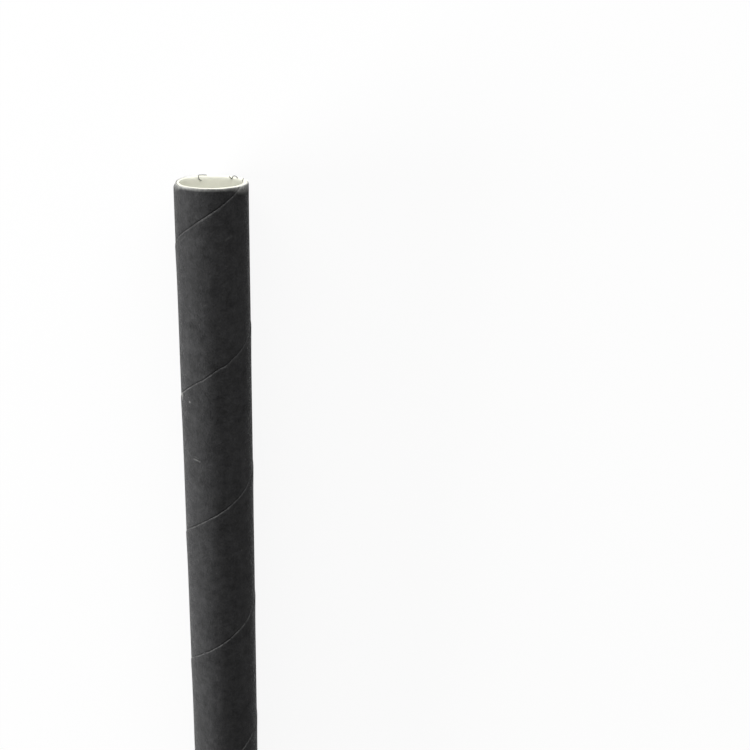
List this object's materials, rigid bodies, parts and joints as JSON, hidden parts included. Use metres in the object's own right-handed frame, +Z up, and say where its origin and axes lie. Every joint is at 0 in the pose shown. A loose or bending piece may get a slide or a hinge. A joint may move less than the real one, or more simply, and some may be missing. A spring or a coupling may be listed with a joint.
{
  "type": "paper drinking straw",
  "caption": "Spiral-wound paper drinking straw: a white paper tube in a matt black paper strip, with a helical lap seam and square-cut open ends.",
  "frame": {"origin": "under the middle of the straw's length, on the surface it lies on", "axes": "+Y along the straw towards the mouth that the picture shows, +Z up from the surface, +X to the right of a viewer who looks down with the mouth at the top"},
  "size_m": [0.0082, 0.197, 0.0081],
  "materials": {
    "black_paper": "matt, uncoated",
    "white_paper": "matt, uncoated"
  },
  "bodies": {
    "root": {"outer_ply": "black_paper", "inner_tube": "white_paper"}
  },
  "joints": []
}
